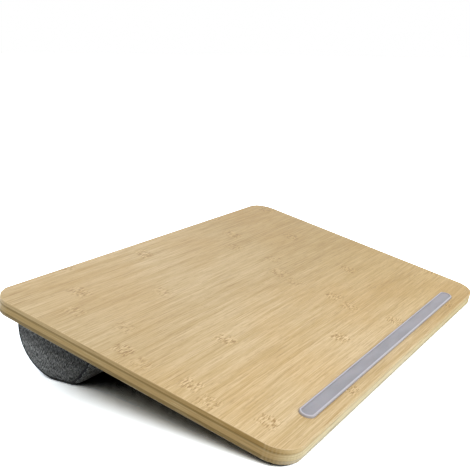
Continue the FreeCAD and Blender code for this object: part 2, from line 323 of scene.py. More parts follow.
def make_lamp(name, towards, strength, width):
    """A soft lamp far away, in the direction given."""
    data = bpy.data.lights.new(name, "SUN")
    data.energy = strength
    data.angle = math.radians(width)
    lamp = bpy.data.objects.new(name, data)
    lamp.rotation_mode = "QUATERNION"
    lamp.rotation_quaternion = Vector(towards).to_track_quat("Z", "Y")
    bpy.context.collection.objects.link(lamp)


make_camera()
make_floor()
make_world()
for lamp in LAMPS:
    make_lamp(*lamp)


# ---------------- bamboo

STRIP_OF_BAMBOO = 20.0
KNUCKLE_SPACING = 236.0
# Where each strip's first knuckle lies from the left edge, in millimetres, from the front strip to the back
KNUCKLES = (112, 23, 182, 11, 19, 96, 13, 18, 44, 120, 33, 60, 170, 84)
# What is taken off the board's colour: painted shade towards the back, and a darker, more golden tone
# towards the right
PAINTED_SHADE_TO_BACK = (0.80, 0.79, 0.74, 1.0)
DARKER_TO_RIGHT = (0.83, 0.775, 0.585, 1.0)


def scaled(colour, red, green, blue):
    """A colour with each part multiplied."""
    return tuple(min(a * b, 1.0) for a, b in zip(colour[:3], (red, green, blue))) + (1,)


def knuckle_start(look, strip):
    """The first knuckle's place along each strip."""
    ramp = look.node("ValToRGB", {"Fac": (strip + 0.5) / float(len(KNUCKLES))})
    ramp.color_ramp.interpolation = "CONSTANT"
    stops = ramp.color_ramp.elements
    for index, place in enumerate(KNUCKLES):
        stop = stops[index] if index < 1 else stops.new(index / len(KNUCKLES))
        stop.position = index / len(KNUCKLES)
        grey = place / (2 * BOARD_HALF)
        stop.color = (grey, grey, grey, 1)
    stops.remove(stops[-1])
    return Value(look, ramp.outputs["Color"]) * (2 * BOARD_HALF)


class Ply:
    """A bamboo ply's look, with places along and across its strips and each strip's own random numbers."""

    def __init__(self, name, grain, seed):
        self.look = look = new_look(name)
        self.lengthwise = grain == "x"
        self.place = look.place_mm(BOARD_PLACE)
        self.x, self.y, self.z = look.split(self.place)
        self.along, self.across = (self.x, self.y) if self.lengthwise else (self.y, self.x)
        self.strip = look.math("FLOOR", self.across / STRIP_OF_BAMBOO)
        self.tint, self.shift, self.strength = look.random(self.strip + seed)
        middle = (self.strip + 0.5) * STRIP_OF_BAMBOO
        self.local = self.across - middle
        self.far = self.shift * 40.0
        self.add_knuckles()
        bent = self.across + self.bulge
        self.grain_place = look.join(self.along, bent + self.far, self.z + self.far)

    def add_knuckles(self):
        """Each strip crosses a node of the cane now and then; the fibres are thrown aside there."""
        look = self.look
        first = knuckle_start(look, self.strip) if self.lengthwise else self.shift * KNUCKLE_SPACING
        from_left = self.along + (BOARD_HALF if self.lengthwise else 0.0)
        turns = (from_left - first) / KNUCKLE_SPACING
        away = (turns - look.math("ROUND", turns)) * KNUCKLE_SPACING
        ripple = look.noise(look.join(self.across * 0.22, self.far, 0.0), 1.0, 2.0)
        self.away = away + spread(ripple, 9.0)
        near = look.step(abs(self.away), 4.0, 11.0, 1.0, 0.0)
        within = look.step(abs(self.local), 5.5, 10.0, 1.0, 0.0)
        self.knuckle = near * within * look.step(self.strength, 0.0, 0.4, 0.6, 1.0)
        self.bulge = near * look.math("SINE", self.away * 0.6) * 0.2

    def grained(self, along, across, detail=2.0, rough=0.55):
        """Noise drawn out along the fibres: its rates per millimetre along and across them."""
        look = self.look
        return look.noise(look.stretched(self.grain_place, along, across, across), 1.0, detail, rough)


def spread(noise_value, gain):
    """A noise about its middle, spread by a gain."""
    return (noise_value - 0.5) * gain


def face_colour(ply, pale, deep, knuckle_strength):
    """Broad bands, streaks, fine fibres, dashes, knuckle marks and a painted highlight along the top edge.
    """
    look = ply.look
    ply.streak = ply.grained(0.022, 0.85, 3.0, 0.65)
    ply.fine = ply.grained(0.030, 1.5)
    share = spread(ply.streak, 2.1) + spread(ply.grained(0.006, 0.16, 3.0), 1.5)
    share = look.math("ADD", share + spread(ply.tint, 0.35), 0.5, clamp=True)
    colour = look.mix(share, pale, deep)
    golden = scaled(deep, 1.10, 1.0, 0.80)
    darker = scaled(deep, 0.66, 0.56, 0.42)
    lighter = scaled(pale, 1.13, 1.15, 1.2)
    cloud = look.noise(look.stretched(ply.place, 0.009, 0.012, 0.012), 1.0, 2.0)
    colour = look.layered(
        colour,
        (cloud, 0.42, 0.68, 0.35, golden),
        (ply.fine, 0.53, 0.70, 0.46, darker),
        (ply.fine, 0.46, 0.32, 0.42, lighter),
        (ply.grained(0.10, 1.35), 0.56, 0.68, 0.36, darker),
    )
    mark = ply.grained(0.2, 1.05, 1.0)
    ply.dark_mark = ply.knuckle * look.step(mark, 0.54, 0.61)
    pale_mark = ply.knuckle * look.step(mark, 0.46, 0.39, 0.0, 0.7)
    ridge = ply.dark_mark * look.step(abs(ply.away), 0.5, 2.5, 1.0, 0.0)
    colour = look.mix(ply.knuckle * 0.12, colour, golden)
    colour = look.mix(ply.dark_mark * knuckle_strength, colour, darker)
    colour = look.mix(pale_mark * knuckle_strength, colour, lighter)
    colour = look.mix(ridge * (knuckle_strength * 0.4), colour, darker)
    # Painted shade towards the back of the board
    colour = look.mix(look.step(ply.y, 45.0, 185.0), colour, PAINTED_SHADE_TO_BACK, "MULTIPLY")
    outside, _ = outline_depth(ply)
    # A painted highlight along the top edge
    top_edge_highlight = look.bump_of(outside, -0.3, 0.25, 0.2) * look.step(ply.z, 10.8, 11.2)
    colour = look.mix(top_edge_highlight * 0.3, colour, lighter)
    half = STRIP_OF_BAMBOO / 2
    ply.joint = look.step(abs(ply.local), half - 0.22, half - 0.05)
    return look.mix(ply.joint * 0.22, colour, darker)


def beyond(look, value, limit):
    """How far a value's size is beyond a limit, at least 0."""
    return look.math("MAXIMUM", abs(value) - limit, 0.0)


def outline_depth(ply):
    """How far outside the board's rounded outline a point is (below 0 inside), and its share of the way
    round a corner from the front or back (0) to the left or right side (1)."""
    look = ply.look
    from_middle = ply.y - BOARD_DEPTH / 2
    over_x = beyond(look, ply.x, BOARD_HALF - BOARD_CORNER)
    over_y = beyond(look, from_middle, BOARD_DEPTH / 2 - BOARD_CORNER)
    outside = look.length(look.join(over_x, over_y)) - BOARD_CORNER
    both = look.math("MAXIMUM", over_x + over_y, 0.01)
    return outside, over_x / both


def side_colour(ply, near, far, front):
    """The board's edge in thin lines, with colours at the sides' near and far ends and in front. The sides
    are darker than the front partly by their end grain and partly by painted shade.
    """
    look = ply.look
    outside, turned = outline_depth(ply)
    ply.side = look.step(outside, -0.12, 0.0)
    left = look.mix(look.step(ply.y, 15.0, 250.0), near, far)
    colour = look.mix(look.step(turned, 0.25, 0.8), front, left)
    run = ply.x * 0.03 + ply.y * 0.03
    lines = look.noise(look.join(run, ply.z * 1.1, 0.0), 1.0, 3.0, 0.6)
    pores = look.noise(look.stretched(ply.place, 0.6, 0.6, 2.2), 1.0, 2.0, 0.6)
    colour = look.layered(
        colour,
        (lines, 0.50, 0.66, 0.5, scaled(near, 0.60, 0.58, 0.50)),
        (lines, 0.46, 0.34, 0.4, scaled(front, 1.02, 1.02, 1.0)),
        (pores, 0.55, 0.70, 0.35, scaled(near, 0.66, 0.64, 0.56)),
    )
    ply.glue = None
    for height, half, depth in GLUE_LINES:
        wavy = ply.z + spread(lines, 1.0) * 0.35
        line = look.bump_of(wavy, height, half, 0.55) * depth
        ply.glue = line if ply.glue is None else look.math("MAXIMUM", ply.glue, line)
    glue_share = ply.glue * look.step(turned, 0.2, 0.8, 0.26, 0.9)
    return look.mix(glue_share, colour, scaled(near, 0.52, 0.50, 0.40))


def bamboo(name, grain, seed, faces, edges, knuckle_strength):
    """Flat-pressed bamboo: the pale and deep colours of its faces, and the colours of its edges."""
    ply = Ply(name, grain, seed)
    look = ply.look
    face = face_colour(ply, *faces, knuckle_strength)
    edge = side_colour(ply, *edges)
    colour = look.mix(ply.side, face, edge)
    # Darker and more golden towards the right
    colour = look.mix(look.step(ply.x, -60.0, 180.0), colour, DARKER_TO_RIGHT, "MULTIPLY")
    flat = 1.0 - ply.side
    roughness = look.step(ply.streak, 0.3, 0.7, 0.42, 0.56) + ply.knuckle * 0.06
    sunk = ply.joint + ply.glue * ply.side
    height = ply.fine * 0.5 + ply.streak * 0.3 - ply.dark_mark * 0.3 - sunk * 0.6
    return look.finish(
        colour, roughness, height, 0.05,
        Specular_IOR_Level=0.16, Coat_Weight=flat * 0.55, Coat_Roughness=0.4,
    )


def give(node, material):
    """A CAD node's own faces, in a new material."""
    for slot in nodes[node].material_slots:
        slot.material = material


FACE = (srgb(221, 196, 152), srgb(192, 163, 109))
CORE = (srgb(206, 181, 136), srgb(182, 151, 103))
# Edge colours at the sides' near and far ends and in front: the sides are darker partly by their end grain,
# partly by painted shade
TOP_EDGES = (srgb(184, 149, 89), srgb(216, 189, 140), srgb(218, 192, 141))
CORE_EDGES = (srgb(196, 164, 109), srgb(197, 168, 114), srgb(228, 213, 170))
BOTTOM_EDGES = (srgb(144, 118, 70), srgb(144, 121, 78), srgb(206, 195, 168))
give("board_top_ply", bamboo("bamboo_top", "x", 3.0, FACE, TOP_EDGES, 0.9))
give("board_core_ply", bamboo("bamboo_core", "y", 31.0, CORE, CORE_EDGES, 0.3))
give("board_bottom_ply", bamboo("bamboo_bottom", "x", 57.0, FACE, BOTTOM_EDGES, 0.9))


# ---------------- anti-slip strip

# The strip's middle line behind the board's front, half its straight run, half its width and its rim's width
STRIP_Y = 16.2
STRIP_HALF = 155.5
STRIP_REACH = 6.0
STRIP_RIM = 1.4


def elastomer():
    """Soft grey moulding with a fine matt tooth, a painted highlight on its rounded rim and painted shade at
    its outermost edge.
    """
    look = new_look("strip_elastomer_look")
    place = look.place_mm(BOARD_PLACE)
    x, y, _ = look.split(place)
    past = look.math("MAXIMUM", abs(x) - STRIP_HALF, 0.0)
    from_line = look.length(look.join(past, y - STRIP_Y))
    depth = STRIP_REACH - from_line
    grit = look.noise(place, 2.2, 3.0, 0.6)
    cloud = look.noise(look.stretched(place, 0.03, 0.09, 0.1), 1.0, 2.0)
    colour = look.layered(
        srgb(160, 156, 163),
        (cloud, 0.35, 0.65, 1.0, srgb(150, 147, 153)),
        (grit, 0.52, 0.7, 0.22, srgb(190, 187, 193)),
        # A painted highlight on the rounded rim, then painted shade at the outermost edge
        (depth, STRIP_RIM + 0.2, STRIP_RIM - 0.5, 1.0, srgb(196, 191, 199)),
        (depth, 0.55, 0.1, 0.45, srgb(150, 146, 150)),
        (look.noise(place, 0.7, 4.0, 0.7), 0.62, 0.74, 0.25, srgb(214, 208, 206)),
    )
    roughness = look.step(grit, 0.3, 0.7, 0.46, 0.62)
    return look.finish(colour, roughness, grit, 0.03, Specular_IOR_Level=0.4, Subsurface_Weight=0.08)


def adhesive():
    """Clear-looking double-sided film, a little milky at its edges."""
    look = new_look("adhesive_film_look")
    place = look.place_mm(BOARD_PLACE)
    haze = look.noise(place, 0.4, 4.0, 0.6)
    colour = look.mix(haze, srgb(226, 222, 208), srgb(196, 190, 172))
    return look.finish(colour, look.step(haze, 0.3, 0.7, 0.2, 0.4), haze, 0.02)


give("anti_slip_strip", elastomer())
give("strip_adhesive", adhesive())


# ---------------- fabric


def roll_coordinates(look, panel):
    """Millimetres along and across a cover panel (round the roll, flat in its end, or over its top and down
    the corners), and the point itself."""
    place = look.place_mm(AXIS_PLACE)
    x, y, z = look.split(place)
    if panel == "round":
        return x, look.math("ARCTAN2", z, y * -1.0) * ROLL_RADIUS, place
    if panel == "top":
        return x, y + look.math("SIGN", y) * (ROLL_TOP - z), place
    return y, z, place


YARN_PITCH = 0.95


def weave(look, u, v):
    """Plain weave: the tone and height of the yarn on top, and how near the point is to a yarn's middle."""
    warp_at, weft_at = u / YARN_PITCH, v / YARN_PITCH
    warp, weft = look.math("FLOOR", warp_at), look.math("FLOOR", weft_at)
    warp_round = look.math("SINE", look.math("FRACT", warp_at) * math.pi)
    weft_round = look.math("SINE", look.math("FRACT", weft_at) * math.pi)
    over = look.math("PINGPONG", warp + weft, 1.0)
    warp_tone = look.noise(look.join(warp * 3.7, v * 0.24, 0.0), 1.0, 2.0, 0.6)
    weft_tone = look.noise(look.join(u * 0.24, weft * 3.7, 9.0), 1.0, 2.0, 0.6)
    tone = look.between(over, warp_tone, spread(weft_tone, 0.6) + 0.5)
    return tone, look.between(over, warp_round, weft_round), warp_round * weft_round


def melange(name, panel):
    """Slubby dark and pale grey yarns with light flecks, for the cover's round, end or top panel. The end
    panels carry painted shade to the front and beside the board."""
    look = new_look(name)
    u, v, place = roll_coordinates(look, panel)
    drift = spread(look.noise(place, 0.06, 2.0), 1.6)
    u = u + drift
    v = v + drift * -0.7
    tone, height, middle = weave(look, u, v)
    slub_u = look.noise(look.join(u * 0.45, v * 2.3, 3.0))
    slub_v = look.noise(look.join(u * 4.0, v * 0.36, 5.0), 1.0, 1.0, 0.5)
    wear = look.noise(look.stretched(place, 0.03, 0.03, 0.03), 1.0, 3.0)
    colour = look.layered(
        srgb(48, 50, 52),
        (tone, 0.40, 0.58, 1.0, srgb(129, 132, 133)),
        (tone, 0.55, 0.66, 0.95, srgb(214, 216, 217)),
        (slub_u, 0.58, 0.68, 0.5, srgb(208, 210, 210)),
        (slub_v, 0.54, 0.585, 1.0, srgb(244, 246, 244)),
        (slub_v, 0.495, 0.45, 1.0, srgb(18, 20, 20)),
    )
    # Painted shade in the gaps between the yarns
    colour = look.mix(look.step(middle, 0.05, 0.35, 0.5, 0.0), colour, srgb(36, 37, 39))
    colour = look.layered(colour, (wear, 0.4, 0.7, 0.14, srgb(158, 158, 156)))
    if panel == "end":
        # Painted shade on the end panels: deeper towards the front and beside the board
        shade = srgb(20, 21, 21)
        colour = look.layered(colour, (u, 15.0, -28.0, 0.34, shade), (v, -21.0, -11.0, 0.52, shade))
    fuzz = look.noise(place, 5.0, 2.0)
    return look.finish(
        colour, look.step(tone, 0.3, 0.7, 0.92, 0.8), height * 0.8 + (fuzz + slub_u) * 0.25, 0.22,
        Sheen_Weight=0.12, Sheen_Roughness=0.5, Specular_IOR_Level=0.2,
    )


def dark_textile(name, base, light, pitch, skew, depth):
    """Dense narrow weave or twill in near-black yarn."""
    look = new_look(name)
    place = look.place_mm(AXIS_PLACE)
    x, y, z = look.split(place)
    turn = 2 * math.pi / pitch
    rib = look.math("SINE", (x + (y + z) * skew) * turn)
    rib_across = look.math("SINE", (y + z - x * (skew * 0.4)) * turn)
    tone = look.noise(place, 1.6, 3.0, 0.6)
    ribs = rib * 0.5 + rib_across * 0.35
    share = look.step(ribs, -0.8, 0.8, 0.0, 0.6) + tone * 0.5
    colour = look.mix(look.step(share, 0.2, 1.0), base, light)
    return look.finish(
        colour, look.step(tone, 0.3, 0.7, 0.7, 0.88), ribs + tone * 0.4, depth,
        Sheen_Weight=0.08, Sheen_Roughness=0.4, Specular_IOR_Level=0.3,
    )


def open_foam():
    """Pale cut foam with open cells, and painted shade in the cells' hollows."""
    look = new_look("foam_look")
    place = look.place_mm(AXIS_PLACE)
    cells = look.value("TexVoronoi", {"Vector": place, "Scale": 1.4}, "Distance")
    shade = look.noise(place, 0.08, 3.0)
    # Darker in the cells' hollows: painted shade
    colour = look.layered(
        srgb(150, 146, 136),
        (cells, 0.1, 0.6, 1.0, srgb(206, 202, 192)),
        (shade, 0.4, 0.7, 0.3, srgb(214, 204, 176)),
    )
    return look.finish(colour, look.step(cells, 0.0, 0.6, 0.95, 0.85), cells, 0.4)


def gunmetal():
    """Lacquered dark nickel, brighter where it is rubbed."""
    look = new_look("zip_metal_look")
    place = look.place_mm(AXIS_PLACE)
    grain = look.noise(look.stretched(place, 0.6, 3.0, 3.0), 1.0, 3.0, 0.6)
    patches = look.noise(place, 0.5, 3.0, 0.6)
    colour = look.layered(
        srgb(96, 96, 98),
        (grain, 0.35, 0.65, 1.0, srgb(122, 122, 124)),
        (patches, 0.5, 0.72, 0.6, srgb(172, 170, 166)),
    )
    roughness = look.step(patches, 0.3, 0.7, 0.38, 0.24)
    return look.finish(colour, roughness, grain, 0.02, Metallic=1.0)


def moulded(name, base, light):
    """Moulded plastic with a fine skin."""
    look = new_look(name)
    place = look.place_mm(AXIS_PLACE)
    skin = look.noise(place, 2.5, 3.0)
    colour = look.mix(look.step(skin, 0.35, 0.7), base, light)
    return look.finish(colour, look.step(skin, 0.3, 0.7, 0.3, 0.46), skin, 0.02)


CLOTH_ROUND = melange("cover_cloth_round", "round")
CLOTH_END = melange("cover_cloth_end", "end")
CLOTH_TOP = melange("cover_cloth_top", "top")
PIPING = dark_textile("piping_cloth", srgb(14, 14, 15), srgb(40, 40, 42), 0.7, 1.0, 0.12)
TAPE = dark_textile("zip_tape_weave", srgb(20, 20, 22), srgb(58, 58, 61), 0.9, 0.5, 0.12)
HOOKS = moulded("hook_tape_look", srgb(26, 26, 28), srgb(52, 52, 55))
LOOPS = dark_textile("loop_tape_look", srgb(22, 22, 24), srgb(64, 64, 68), 0.6, 0.3, 0.2)
THREAD = dark_textile("thread_look", srgb(24, 24, 26), srgb(70, 70, 74), 0.35, 0.8, 0.06)
TEETH = moulded("zip_teeth_look", srgb(22, 22, 24), srgb(46, 46, 49))
METAL = gunmetal()
FOAM = open_foam()


# ---------------- the roll's outline


def turn_angle():
    """Half the flat top's width, and the angle at which the round side turns into the corner beside it."""
    flat = math.sqrt((ROLL_RADIUS - TOP_CORNER) ** 2 - (ROLL_TOP - TOP_CORNER) ** 2)
    return flat, math.atan2(ROLL_TOP - TOP_CORNER, flat)


def outline_rows():
    """Points (y, z) and outward normals round the roll from the front seam, down, under, up the back and
    over, and the rows of the zip's window."""
    flat, turn = turn_angle()
    window = math.asin(WINDOW_Z / ROLL_RADIUS)
    down = 1.5 * math.pi - TILT
    foot = math.acos(1 - FLOOR_FLAT / ROLL_RADIUS)
    rows = []

    def arc(start, end, count, radius=ROLL_RADIUS, y=0.0, z=0.0):
        for angle in np.linspace(start, end, count, endpoint=False):
            ny, nz = math.cos(angle), math.sin(angle)
            rows.append((y + radius * ny, z + radius * nz, ny, nz))

    arc(math.pi - turn, down - foot, 20)
    ends = [np.array((math.cos(a), math.sin(a))) * ROLL_RADIUS for a in (down - foot, down + foot)]
    for share in np.linspace(0, 1, 5, endpoint=False):
        rows.append((*(ends[0] * (1 - share) + ends[1] * share), math.cos(down), math.sin(down)))
    arc(down + foot, 2 * math.pi - window, 20)
    zip_low = len(rows)
    arc(-window, window, 6)
    zip_high = len(rows)
    arc(window, turn, 2)
    arc(turn, math.pi / 2, 4, TOP_CORNER, flat, ROLL_TOP - TOP_CORNER)
    for y in np.linspace(flat, -flat, 20, endpoint=False):
        rows.append((y, ROLL_TOP, 0, 1))
    arc(math.pi / 2, math.pi - turn, 4, TOP_CORNER, -flat, ROLL_TOP - TOP_CORNER)
    return np.array(rows, float), zip_low, zip_high


ROWS, ZIP_LOW, ZIP_HIGH = outline_rows()
COUNT = len(ROWS)
# The tube's columns along X, closer together near the seams, and how far each is set in
SEAM_X = 173.3
EDGE_X = (172.9, 172.2, 170.9, 168.7, 165.7, 162.6)
EDGE_INSET = (0.85, 0.4, 0.14, 0.03, 0.0, 0.0)
SEAM_INSET = 1.5
INNER_X = np.linspace(-WINDOW_X, WINDOW_X, 81)
COLUMNS = np.concatenate([[-SEAM_X], -np.array(EDGE_X), INNER_X, np.array(EDGE_X)[::-1], [SEAM_X]])
INSETS = np.concatenate(
    [[SEAM_INSET], EDGE_INSET, np.zeros(len(INNER_X)), np.array(EDGE_INSET)[::-1], [SEAM_INSET]]
)
# Each end panel's rings, from the seam towards its middle, and how far it stands out of the seam
END_X = 174.35
END_INSET = 2.35
END_SHARES = (0.0, 0.02, 0.05, 0.10, 0.17, 0.27, 0.39, 0.53, 0.69, 0.85)
END_RINGS = len(END_SHARES)
END_POINTS = END_RINGS * COUNT + 1
END_CENTRE = np.array([0.0, -9.0])
END_DEPTH = 38.0
END_LIP, END_LIP_RUN = 1.3, 2.2
END_DOME = 1.4
# How far the cover's cloth stays above the floor
FLOOR_GAP = 0.03

# The filling has settled to the front of where the roll rests, so the outline is fuller there, and slack at
# the back. Directions and widths are degrees round the roll from its +Y axis; the rest are millimetres.
SETTLED_TO, SETTLED_WIDTH = 235.0, 16.0
SETTLED_AT_SEAM, SETTLED_BETWEEN = 3.0, 4.6
SLACK_AT, SLACK_WIDTH, SLACK = 300.0, 25.0, 0.45
# How quickly the outline fills out beside a seam
SEAM_RUN = 4.0


def settled(normals, share):
    """How far the filling pushes the outline out: share is 0 at a sewn seam and 1 between the seams."""
    angle = np.degrees(np.arctan2(normals[..., 1], normals[..., 0])) % 360
    full = np.exp(-(((angle - SETTLED_TO) / SETTLED_WIDTH) ** 2))
    wide = np.exp(-(((angle - SETTLED_TO + 3.0) / (SETTLED_WIDTH + 4.0)) ** 2))
    at_seam = SETTLED_AT_SEAM * full - SLACK * np.exp(-(((angle - SLACK_AT) / SLACK_WIDTH) ** 2))
    return at_seam + (SETTLED_BETWEEN * wide - at_seam) * share


def off_floor(points, clearance):
    """Lifts roll-frame (y, z) points straight up until they are clear of the floor."""
    up = np.array([math.sin(TILT), math.cos(TILT)])
    height = points @ up + roll_to_part([0, 0, 0])[0, 2] / MM
    lift = np.maximum(clearance - height, 0.0)
    return points + lift[..., None] * up


def outline(x, inset):
    """The settled outline's (y, z) points at one place along the roll, set in from the cloth's outside."""
    share = 1 - math.exp(-(SEAM_X - min(abs(x), SEAM_X)) / SEAM_RUN)
    normals = ROWS[:, 2:]
    points = ROWS[:, :2] + (settled(normals, share) - inset)[:, None] * normals
    return off_floor(points, FLOOR_GAP + 0.6 * inset)


def roll_grid():
    """The bag before it is filled: columns along X, rows round the outline, in roll-frame millimetres."""
    grid = np.zeros((len(COLUMNS), COUNT, 3))
    for column, (x, inset) in enumerate(zip(COLUMNS, INSETS)):
        grid[column, :, 0] = x
        grid[column, :, 1:] = outline(x, inset)
    return grid


def end_rise(share):
    """How far an end panel stands out of its seam: a lip beside the piping, then a low dome."""
    return END_LIP * (1 - math.exp(-share * END_DEPTH / END_LIP_RUN)) + END_DOME * (1 - (1 - share) ** 2)


def end_grid(side):
    """One end panel before it is filled: rings from the seam to the middle."""
    rim = outline(SEAM_X, END_INSET)
    grid = np.zeros((END_RINGS, COUNT, 3))
    for ring, share in enumerate(END_SHARES):
        grid[ring, :, 1:] = rim * (1 - share) + END_CENTRE * share
        grid[ring, :, 0] = side * (END_X + end_rise(share))
    return grid


def end_middle(side):
    """The middle of an end panel."""
    return np.array([side * (END_X + end_rise(1.0)), *END_CENTRE])


# ---------------- faces of meshes


def angles(count):
    """Evenly spaced angles round a circle."""
    return [2 * math.pi * step / count for step in range(count)]


def lump(x, y, z):
    """Smooth noise from about -1 to 1."""
    return noise.noise(Vector((x, y, z)))


def band(a, b, count, inward=False):
    """The faces between two closed rings of points that start at a and b."""
    quads = [(a + k, a + (k + 1) % count, b + (k + 1) % count, b + k) for k in range(count)]
    return [(p, s, r, q) for p, q, r, s in quads] if inward else quads


def fan(ring, count, tip):
    """The faces from a closed ring of points to one point."""
    return [(ring + k, ring + (k + 1) % count, tip) for k in range(count)]


def skin(rings, count, inward=False):
    """The faces of a tube of rings, closed at both ends."""
    size = rings * count
    faces = []
    for start in range(0, size - count, count):
        faces += band(start, start + count, count, inward)
    first, last = tuple(range(count)), tuple(range(size - count, size))
    return faces + ([first, last[::-1]] if inward else [first[::-1], last])


def turned(faces, turn):
    """The faces, with their other side out if turn is true."""
    return [face[::-1] for face in faces] if turn else faces


def merged(shapes):
    """The points and faces of several shapes, each with its own points and faces, as one shape's."""
    points, faces = [], []
    for own_points, own_faces in shapes:
        faces += [tuple(len(points) + index for index in face) for face in own_faces]
        points += own_points
    return points, faces


# ---------------- filling the bag


def end_faces(rings, tip, side):
    """An end panel's faces, from where each of its rings starts and its middle point."""
    faces = []
    for outer, inner in zip(rings, rings[1:]):
        faces += band(outer, inner, COUNT)
    return turned(faces + fan(rings[-1], COUNT, tip), side < 0)


def bag_faces():
    """The faces of the tube and of the two end panels, which are joined to the tube's rims."""
    tube = len(COLUMNS) * COUNT
    faces = []
    for start in range(0, tube - COUNT, COUNT):
        faces += band(start, start + COUNT, COUNT)
    for side, rim, base in ((-1, 0, tube), (1, tube - COUNT, tube + END_POINTS)):
        rings = [rim, *range(base + COUNT, base + END_RINGS * COUNT, COUNT)]
        faces += end_faces(rings, base + END_RINGS * COUNT, side)
    return faces


def held_points():
    """The points that stay in place: the sewn seams, the zip's window and the end panels' unused rims."""
    tube = len(COLUMNS) * COUNT
    held = [*range(COUNT), *range(tube - COUNT, tube)]
    for column, x in enumerate(COLUMNS):
        if abs(x) <= WINDOW_X + 0.1:
            held += range(column * COUNT + ZIP_LOW, column * COUNT + ZIP_HIGH + 1)
    for base in (tube, tube + END_POINTS):
        held += range(base, base + COUNT)
    return held


FILL_STEPS = 20
CLOTH = {
    "quality": 6, "mass": 0.3, "tension_stiffness": 18, "compression_stiffness": 18, "shear_stiffness": 8,
    "bending_stiffness": 0.6, "use_pressure": True, "uniform_pressure_force": 4.0,
    "vertex_group_mass": "held", "shrink_min": -0.012,
}
# The most that filling moves the round side and the end panels, and how often that movement is evened out
SWELL = 2.2
END_SWELL = 2.0
EVEN_ROUNDS = 5
# The cloth bulges this far past the settled outline at most, and not at all within this height of the zip
MOST_BULGE = 1.0
ZIP_CLEAR = 9.0
# How high the puckers at the seams and the waves in the filling stand, how soon the puckers rise and fade
# beside a seam, and over how many rows both fade towards the zip
PUCKER = 1.1
WAVE = 0.35
PUCKER_RISE, PUCKER_FADE = 1.6, 7.0
CALM_ROWS = 4


def simulate(points):
    """Fills the bag with Cloth pressure and returns how each point moves, in millimetres."""
    mesh = bpy.data.meshes.new("bag")
    mesh.from_pydata((points * MM).tolist(), [], bag_faces())
    mesh.update()
    bag = bpy.data.objects.new("bag", mesh)
    bpy.context.collection.objects.link(bag)
    bag.vertex_groups.new(name="held").add(held_points(), 1.0, "REPLACE")
    cloth = bag.modifiers.new("fill", "CLOTH")
    for key, value in CLOTH.items():
        setattr(cloth.settings, key, value)
    cloth.settings.effector_weights.gravity = 0
    cloth.collision_settings.use_collision = False
    scene = bpy.context.scene
    for step in range(1, FILL_STEPS + 1):
        scene.frame_set(step)
    shape = bag.evaluated_get(bpy.context.evaluated_depsgraph_get()).to_mesh()
    after = np.zeros(len(points) * 3)
    shape.vertices.foreach_get("co", after)
    bpy.data.objects.remove(bag)
    scene.frame_set(1)
    return after.reshape(-1, 3) / MM - points


def capped(moved, cap):
    """Movement no longer than the cap, with its long end eased."""
    length = np.linalg.norm(moved, axis=-1, keepdims=True)
    return moved * (np.tanh(length / cap) * cap / np.maximum(length, 1e-9))


def evened(moved):
    """Movement averaged with its neighbours round the outline, which takes out sharp creases."""
    for _ in range(EVEN_ROUNDS):
        moved = 0.5 * moved + 0.25 * (np.roll(moved, 1, axis=1) + np.roll(moved, -1, axis=1))
    return moved


def held_in(points):
    """Keeps cloth off the board above, off the floor and clear of the zip's run."""
    shape = points.shape
    p = points.reshape(-1, 3).copy()
    p[:, 2] = np.minimum(p[:, 2], ROLL_TOP)
    reach = np.hypot(p[:, 1], p[:, 2])
    near_zip = (p[:, 1] > 0) & (np.abs(p[:, 2]) < ZIP_CLEAR)
    fullest = ROLL_RADIUS + MOST_BULGE + np.maximum(settled(p[:, 1:] / reach[:, None], 1.0), 0.0)
    most = np.where(near_zip, ROLL_RADIUS, fullest)
    p[:, 1:] /= np.maximum(reach / most, 1.0)[:, None]
    p[:, 1:] = off_floor(p[:, 1:], FLOOR_GAP)
    return p.reshape(shape)


def length_along(line):
    """How far along a line of points each of them lies."""
    return np.concatenate([[0], np.cumsum(np.hypot(*np.diff(line[:, :2], axis=0).T))])


def ripples():
    """Puckers beside the sewn seams and slow waves in the filling, as outward movement in millimetres."""
    out = np.zeros((len(COLUMNS), COUNT))
    arc = length_along(ROWS)
    for column, x in enumerate(COLUMNS):
        from_seam = SEAM_X - abs(x)
        beside = math.exp(-from_seam / PUCKER_FADE) * min(from_seam / PUCKER_RISE, 1.0)
        for row in range(COUNT):
            pucker = lump(arc[row] * 0.17, 7.3 if x > 0 else 1.9, 0.0)
            wave = lump(x * 0.022, arc[row] * 0.035, 4.4)
            out[column, row] = PUCKER * beside * pucker + WAVE * wave
    for row in range(COUNT):
        apart = 0 if ZIP_LOW < row < ZIP_HIGH else min(abs(row - ZIP_LOW), abs(row - ZIP_HIGH))
        out[:, row] *= min(apart / CALM_ROWS, 1.0)
    return out


def build_shapes():
    """The filled bag's tube, end panels and their middles, in roll-frame millimetres."""
    tube = roll_grid()
    sides = (-1, 1)
    ends = {side: end_grid(side) for side in sides}
    middles = {side: end_middle(side) for side in sides}
    parts = [tube.reshape(-1, 3)]
    for side in sides:
        parts += [ends[side].reshape(-1, 3), middles[side][None]]
    moved = simulate(np.concatenate(parts))
    size = len(COLUMNS) * COUNT
    tube = tube + evened(capped(moved[:size].reshape(tube.shape), SWELL))
    for side, own in zip(sides, moved[size:].reshape(2, END_POINTS, 3)):
        rings = own[:-1].reshape(END_RINGS, COUNT, 3)
        ends[side] = ends[side] + evened(capped(rings, END_SWELL))
        middles[side] = middles[side] + capped(own[-1], END_SWELL)
    tube[:, :, 1:] += ripples()[:, :, None] * ROWS[None, :, 2:]
    for side in sides:
        ends[side][:, :, 2] = np.minimum(ends[side][:, :, 2], ROLL_TOP)
        ends[side][:, :, 1:] = off_floor(ends[side][:, :, 1:], FLOOR_GAP)
    return held_in(tube), ends, middles


TUBE, ENDS, MIDDLES = build_shapes()


# ---------------- pieces of the cushion


def face_outwards(mesh):
    """Turns the faces of closed shells outwards; an open sheet keeps the side it was built with."""
    shape = bmesh.new()
    shape.from_mesh(mesh)
    if all(edge.is_manifold for edge in shape.edges):
        bmesh.ops.recalc_face_normals(shape, faces=shape.faces)
        shape.to_mesh(mesh)
    shape.free()


